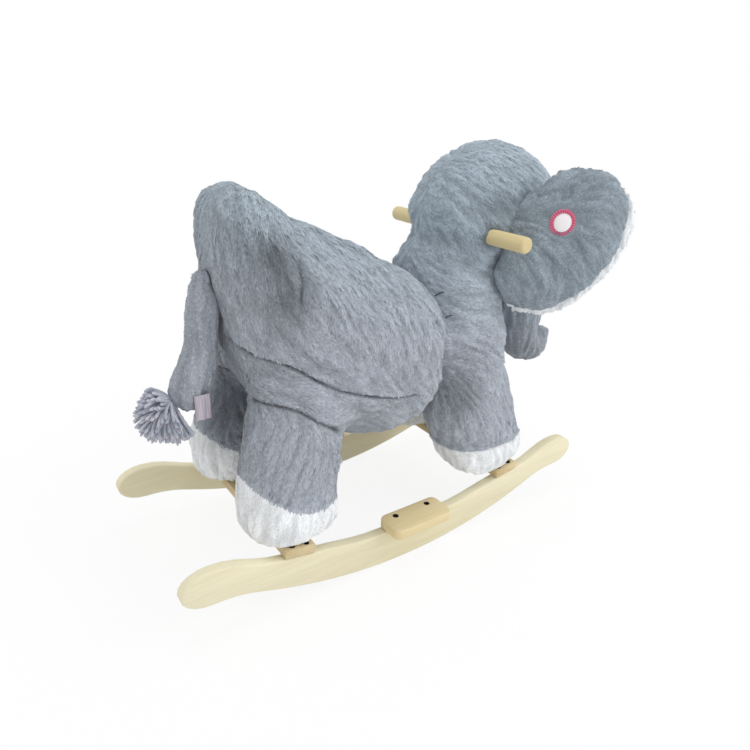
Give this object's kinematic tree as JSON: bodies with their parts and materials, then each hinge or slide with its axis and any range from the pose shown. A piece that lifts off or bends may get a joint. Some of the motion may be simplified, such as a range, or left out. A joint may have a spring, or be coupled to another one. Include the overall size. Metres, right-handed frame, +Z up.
{
  "type": "plush rocking animal",
  "caption": "Child's plush rocking elephant on a wooden rocker base, with a dowel handle, footrests, stuffed ears and tail, and a press-to-sound patch in one ear.",
  "frame": {"origin": "middle of the bounding box on the floor, under the toy; the runners stand on Z = 0", "axes": "+X forward to the animal's head, +Y to the animal's left, +Z up"},
  "size_m": [0.6776, 0.314, 0.516],
  "materials": {
    "pine": "clear satin lacquer on pale solid wood",
    "board_pine": "clear satin lacquer on pale wood with end grain in view",
    "grey_plush": "short clumped grey-blue pile",
    "white_plush": "short white pile",
    "yarn": "thick twisted grey-lilac yarn",
    "ribbon": "plain satin ribbon",
    "pink_felt": "felt ring with a stitched edge",
    "dark_screw": "dark phosphated screws with a cross recess",
    "steel": "bright steel",
    "eye_black": "polished black",
    "white_plastic": "moulded, satin",
    "black_plastic": "moulded, matt",
    "green_laminate": "solder resist on laminate"
  },
  "bodies": {
    "toy": {"runner_right": "pine", "runner_left": "pine", "front_cross_board": "board_pine", "rear_cross_board": "board_pine", "footrest_right": "board_pine", "footrest_left": "board_pine", "board_screw_front_left_a": "dark_screw", "board_screw_front_left_b": "dark_screw", "board_screw_front_right_a": "dark_screw", "board_screw_front_right_b": "dark_screw", "board_screw_rear_left_a": "dark_screw", "board_screw_rear_left_b": "dark_screw", "board_screw_rear_right_a": "dark_screw", "board_screw_rear_right_b": "dark_screw", "footrest_screw_left_a": "dark_screw", "footrest_screw_left_b": "dark_screw", "footrest_screw_right_a": "dark_screw", "footrest_screw_right_b": "dark_screw", "leg_screw_front_left": "steel", "leg_screw_front_right": "steel", "leg_screw_rear_left": "steel", "leg_screw_rear_right": "steel", "seat_board": "pine", "neck_post": "pine", "handle": "pine", "front_leg_post_left": "pine", "front_leg_post_right": "pine", "rear_leg_post_left": "pine", "rear_leg_post_right": "pine", "body": "grey_plush", "head": "grey_plush", "neck": "grey_plush", "trunk": "grey_plush", "front_leg_left": "grey_plush", "front_leg_right": "grey_plush", "hind_leg_left": "grey_plush", "hind_leg_right": "grey_plush", "front_foot_left": "white_plush", "front_foot_right": "white_plush", "hind_foot_left": "white_plush", "hind_foot_right": "white_plush", "eye_left": "eye_black", "eye_right": "eye_black"},
    "tail_swinging": {"tail": "grey_plush", "tassel": "yarn", "care_label": "ribbon"},
    "left_ear": {"ear_left": "grey_plush", "ear_lining_left": "white_plush"},
    "right_ear": {"ear_right": "grey_plush", "ear_lining_right": "white_plush", "sound_case": "white_plastic", "speaker": "black_plastic", "coin_cell": "steel", "circuit_board": "green_laminate", "cap_spring": "steel", "patch_ring": "pink_felt"},
    "button": {"sound_button": "white_plush"}
  },
  "joints": [
    {"name": "tail_swing", "type": "hinge", "parent": "toy", "child": "tail_swinging", "pos_m": [-0.24623, 0, 0.37597], "axis": [0, 1, 0], "range_deg": [0, 80]},
    {"name": "left_ear_bend", "type": "hinge", "parent": "toy", "child": "left_ear", "pos_m": [0.14424, 0.082, 0.4], "axis": [0, 0, 1], "range_deg": [0, 16], "stiffness_Nm_per_rad": 0.4, "springref_deg": -2.86},
    {"name": "right_ear_bend", "type": "hinge", "parent": "toy", "child": "right_ear", "pos_m": [0.14424, -0.082, 0.4], "axis": [0, 0, -1], "range_deg": [0, 16], "stiffness_Nm_per_rad": 0.4, "springref_deg": -2.86},
    {"name": "sound_button_press", "type": "slide", "parent": "right_ear", "child": "button", "axis": [0.5, 0.866, 0], "range_m": [0, 0.002], "stiffness_N_per_m": 400, "springref_m": -0.0015, "deforming": ["cap_spring"]}
  ]
}
